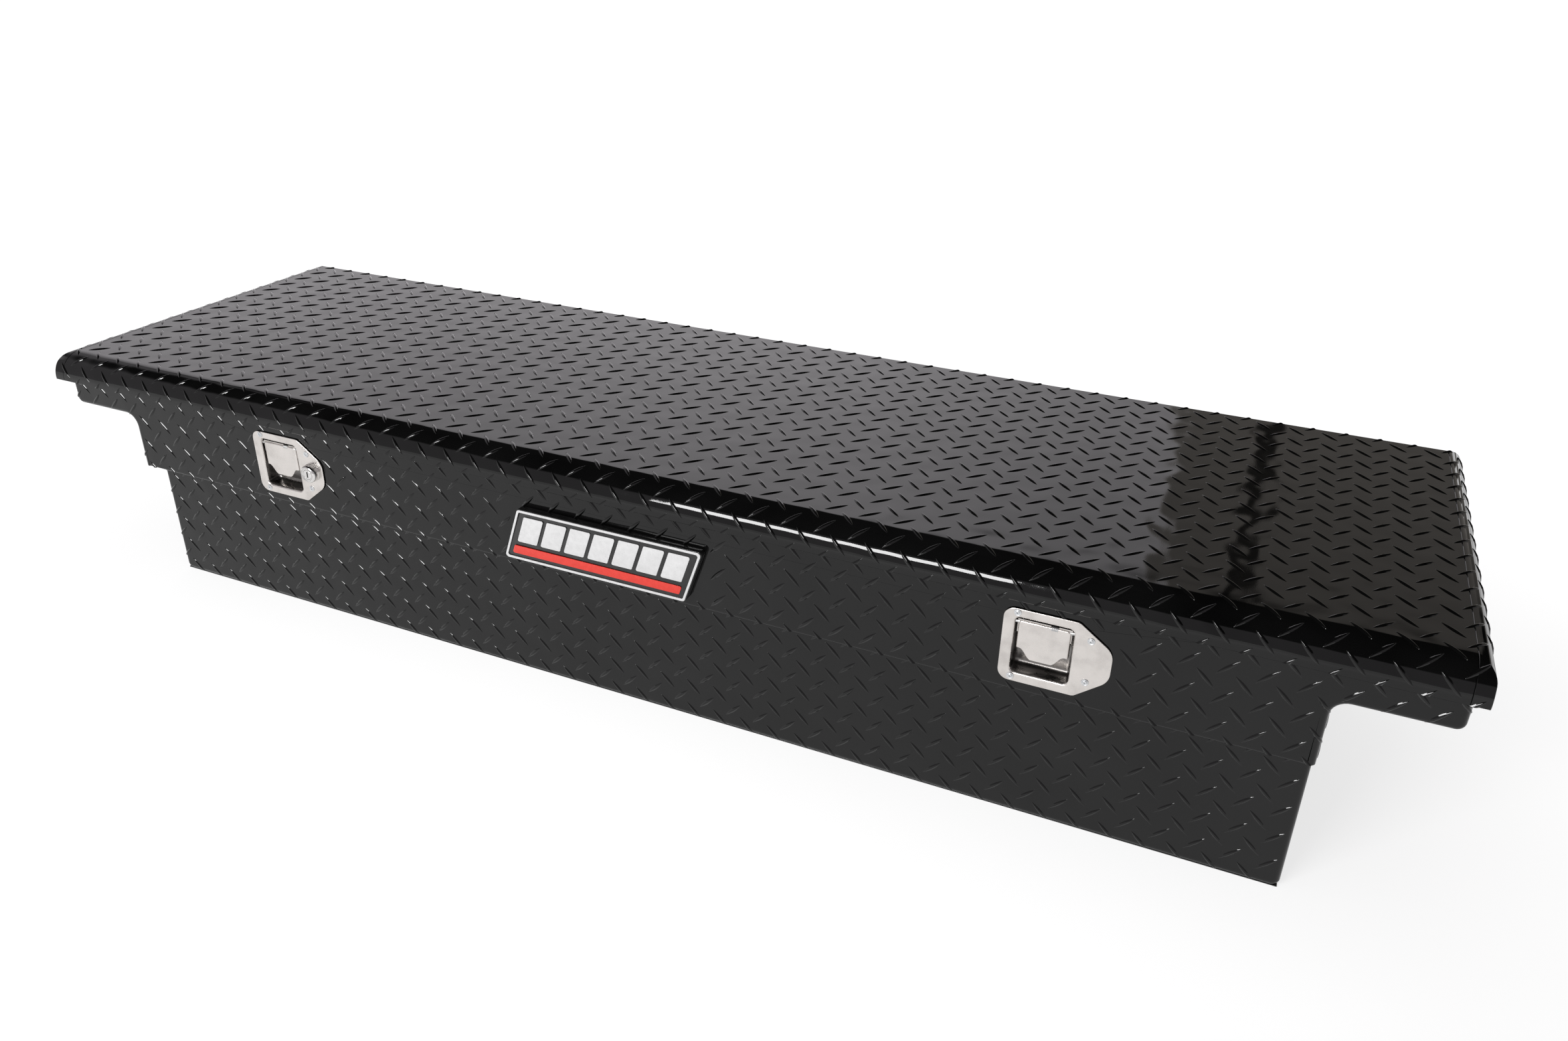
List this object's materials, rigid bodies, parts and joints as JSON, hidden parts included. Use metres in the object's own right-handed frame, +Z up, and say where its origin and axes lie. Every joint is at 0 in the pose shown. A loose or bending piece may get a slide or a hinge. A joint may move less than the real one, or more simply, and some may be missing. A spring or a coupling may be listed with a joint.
{
  "type": "truck tool box",
  "caption": "Low-profile single-lid crossover tool box for a pickup bed: black tread plate, wings that sit on the bed rails, stainless paddle latches and a hinged lid.",
  "frame": {"origin": "middle of the footprint, on the underside of the tub", "axes": "+X along the box towards the wing beside the latch without a lock, -Y to the latch side, +Z up"},
  "size_m": [1.772, 0.508, 0.33],
  "materials": {
    "tread_black": "gloss black powder coat on aluminium tread plate",
    "body_black": "gloss black powder coat on smooth sheet",
    "stainless": "fine brushed stainless with smudges",
    "zinc_steel": "bright zinc plate",
    "chrome": "bright chrome",
    "rubber": "matt black sponge rubber",
    "bush_plastic": "natural nylon",
    "strut_black": "satin black",
    "badge_black": "gloss black",
    "badge_silver": "pale silver",
    "badge_red": "gloss red",
    "aluminium": "mill finish"
  },
  "bodies": {
    "box": {"tub_floor": "body_black", "tub_front_wall": "tread_black", "tub_back_wall": "tread_black", "tub_end_left": "tread_black", "tub_end_right": "tread_black", "front_upper_panel": "tread_black", "back_upper_panel": "tread_black", "wing_shelf_left": "body_black", "wing_shelf_right": "body_black", "wing_end_left": "tread_black", "wing_end_right": "tread_black", "rim_rails": "body_black", "weather_seal": "rubber", "hinge_body_leaf": "stainless", "hinge_body_rivets": "aluminium", "hinge_pin": "stainless", "latch_pan_left": "stainless", "latch_pan_right": "stainless", "latch_gasket_left": "rubber", "latch_gasket_right": "rubber", "latch_rivets": "stainless", "paddle_pin_left": "zinc_steel", "paddle_pin_right": "zinc_steel", "paddle_springs": "zinc_steel", "rotor_springs": "zinc_steel", "rotor_pins": "zinc_steel", "latch_housing_left": "zinc_steel", "latch_housing_right": "zinc_steel", "shaft_bushes": "bush_plastic", "lock_body": "chrome", "lock_nut": "zinc_steel", "strut_body_studs": "zinc_steel", "badge_plate": "badge_black", "badge_rim": "badge_silver", "badge_slats": "badge_silver", "badge_bar": "badge_red"},
    "lid": {"lid_skin": "tread_black", "lid_end_left": "tread_black", "lid_end_right": "tread_black", "lid_channels": "body_black", "striker_left": "zinc_steel", "striker_right": "zinc_steel", "hinge_lid_leaf": "stainless", "hinge_lid_rivets": "aluminium", "strut_lid_studs": "zinc_steel"},
    "paddle_left": {"paddle_left": "stainless"},
    "paddle_right": {"paddle_right": "stainless"},
    "release": {"release_shaft": "zinc_steel", "release_lever_left": "zinc_steel", "release_lever_right": "zinc_steel"},
    "rotor_left": {"rotor_left": "zinc_steel"},
    "rotor_right": {"rotor_right": "zinc_steel"},
    "lock": {"lock_plug": "chrome", "lock_cam": "zinc_steel"},
    "strut_tube_left": {"strut_tube_left": "strut_black"},
    "strut_rod_left": {"strut_rod_left": "chrome"},
    "strut_tube_right": {"strut_tube_right": "strut_black"},
    "strut_rod_right": {"strut_rod_right": "chrome"}
  },
  "joints": [
    {"name": "lid_hinge", "type": "hinge", "parent": "box", "child": "lid", "pos_m": [0, 0.2482, 0.2958], "axis": [-1, 0, 0], "range_deg": [0, 75]},
    {"name": "paddle_left_pull", "type": "hinge", "parent": "box", "child": "paddle_left", "pos_m": [-0.504, -0.235, 0.2615], "axis": [-1, 0, 0], "range_deg": [0, 35], "stiffness_Nm_per_rad": 0.25, "springref_deg": -8.59},
    {"name": "paddle_right_pull", "type": "hinge", "parent": "box", "child": "paddle_right", "pos_m": [0.499, -0.235, 0.2615], "axis": [-1, 0, 0], "range_deg": [0, 35], "stiffness_Nm_per_rad": 0.25, "springref_deg": -8.59},
    {"name": "release_shaft_turn", "type": "hinge", "parent": "box", "child": "release", "pos_m": [0, -0.192, 0.238], "axis": [1, 0, 0], "range_deg": [0, 50]},
    {"name": "rotor_left_turn", "type": "hinge", "parent": "box", "child": "rotor_left", "pos_m": [-0.504, -0.2, 0.272], "axis": [1, 0, 0], "range_deg": [0, 70], "stiffness_Nm_per_rad": 0.12, "springref_deg": -11.46},
    {"name": "rotor_right_turn", "type": "hinge", "parent": "box", "child": "rotor_right", "pos_m": [0.499, -0.2, 0.272], "axis": [1, 0, 0], "range_deg": [0, 70], "stiffness_Nm_per_rad": 0.12, "springref_deg": -11.46},
    {"name": "lock_turn", "type": "hinge", "parent": "box", "child": "lock", "pos_m": [-0.452, -0.24, 0.236], "axis": [0, 1, 0], "range_deg": [0, 90]},
    {"name": "strut_left_swing", "type": "hinge", "parent": "box", "child": "strut_tube_left", "pos_m": [-0.745, 0.2, 0.262], "axis": [-1, 0, 0], "range_deg": [0, 76.69]},
    {"name": "strut_left_slide", "type": "slide", "parent": "strut_tube_left", "child": "strut_rod_left", "axis": [0, -0.986, 0.1669], "range_m": [0, 0.07116]},
    {"name": "strut_right_swing", "type": "hinge", "parent": "box", "child": "strut_tube_right", "pos_m": [0.745, 0.2, 0.262], "axis": [-1, 0, 0], "range_deg": [0, 76.69]},
    {"name": "strut_right_slide", "type": "slide", "parent": "strut_tube_right", "child": "strut_rod_right", "axis": [0, -0.986, 0.1669], "range_m": [0, 0.07116]}
  ],
  "couplings": [
    {"joint": "paddle_right_pull", "follows": "paddle_left_pull", "ratio": 1},
    {"joint": "release_shaft_turn", "follows": "paddle_left_pull", "ratio": 1.4286},
    {"joint": "strut_left_swing", "follows": "lid_hinge", "ratio": 1.0224},
    {"joint": "strut_left_slide", "follows": "lid_hinge", "m_per_rad": 0.054352},
    {"joint": "strut_right_swing", "follows": "lid_hinge", "ratio": 1.0224},
    {"joint": "strut_right_slide", "follows": "lid_hinge", "m_per_rad": 0.054352}
  ]
}
